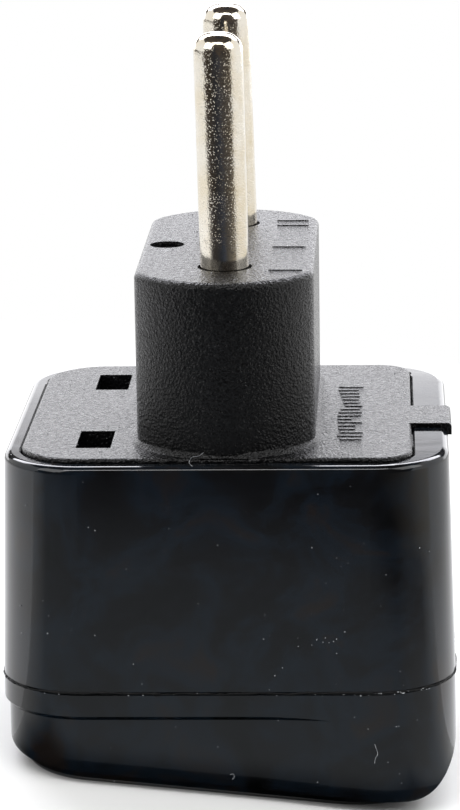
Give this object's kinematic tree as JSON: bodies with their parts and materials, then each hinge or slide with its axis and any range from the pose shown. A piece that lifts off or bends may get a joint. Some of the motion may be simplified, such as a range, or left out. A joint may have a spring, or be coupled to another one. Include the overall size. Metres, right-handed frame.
{
  "type": "travel adapter",
  "caption": "Square travel plug adapter: round pins on a tall oval island, matte back plate with a tab, glossy welded shell and a sloped universal socket face.",
  "frame": {"origin": "centre of the island's flat face, midway between the two pins", "axes": "+Z the way the pins point; the pins stand in a row along Y; the back plate's tab is at +X"},
  "size_m": [0.0376, 0.0376, 0.0635],
  "materials": {
    "glossy_black_plastic": "polished injection moulding",
    "textured_black_plastic": "spark-eroded mould texture",
    "inner_moulding": "natural moulded",
    "nickel_plate": "bright nickel over tumbled brass",
    "brass_strip": "stamped strip",
    "spring_bronze": "phosphor bronze strip, bent",
    "brass_rivet": "upset heads",
    "steel_washer": "zinc plated"
  },
  "bodies": {
    "root": {"upper_housing": "glossy_black_plastic", "socket_cover": "glossy_black_plastic", "back_plate": "textured_black_plastic", "contact_carrier": "inner_moulding", "line_pin": "nickel_plate", "neutral_pin": "nickel_plate", "line_pin_washer": "steel_washer", "neutral_pin_washer": "steel_washer", "line_bus_bar": "brass_strip", "neutral_bus_bar": "brass_strip", "line_contact_clip": "spring_bronze", "neutral_contact_clip": "spring_bronze", "line_clip_rivets": "brass_rivet", "neutral_clip_rivets": "brass_rivet"}
  },
  "joints": []
}
